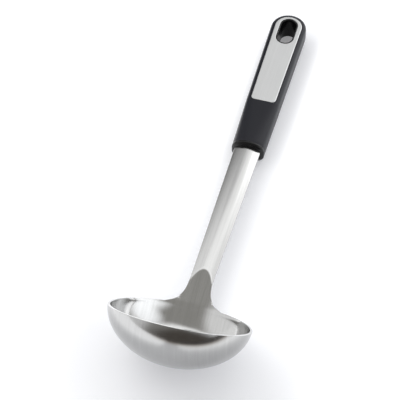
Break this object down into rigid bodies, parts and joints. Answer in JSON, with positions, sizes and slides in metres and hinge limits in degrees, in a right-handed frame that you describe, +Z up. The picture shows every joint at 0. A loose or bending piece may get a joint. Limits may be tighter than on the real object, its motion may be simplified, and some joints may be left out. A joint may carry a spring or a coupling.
{
  "type": "soup ladle",
  "caption": "Household soup ladle: pressed steel bowl on an arched strip stem, with a soft-grip handle, inlaid plate and a lined hanging slot.",
  "frame": {"origin": "on the table, at the middle of the bounding box's underside, with the ladle lying on the back of its bowl and the back of its handle", "axes": "+Y along the handle from the bowl to the hanging end, +Z up from the table, +X to the right seen from the bowl towards the hanging end"},
  "size_m": [0.09, 0.3315, 0.0724],
  "materials": {
    "ladle_steel": "finely brushed and buffed, near mirror inside the bowl",
    "rivet_steel": "plain turned",
    "core_plastic": "moulded, unpolished",
    "grip_rubber": "matte soft-touch, dark blue-grey",
    "collar_plastic": "black, semi-gloss",
    "plate_steel": "brushed along its length with a bright bevelled edge",
    "adhesive_film": "clear tacky film",
    "lining_plastic": "black, semi-gloss"
  },
  "bodies": {
    "root": {"ladle_body": "ladle_steel", "tang_rivets": "rivet_steel", "core_front": "core_plastic", "core_back": "core_plastic", "soft_grip": "grip_rubber", "end_collar": "collar_plastic", "inlay_plate": "plate_steel", "plate_adhesive": "adhesive_film", "hanging_eyelet": "lining_plastic"}
  },
  "joints": []
}
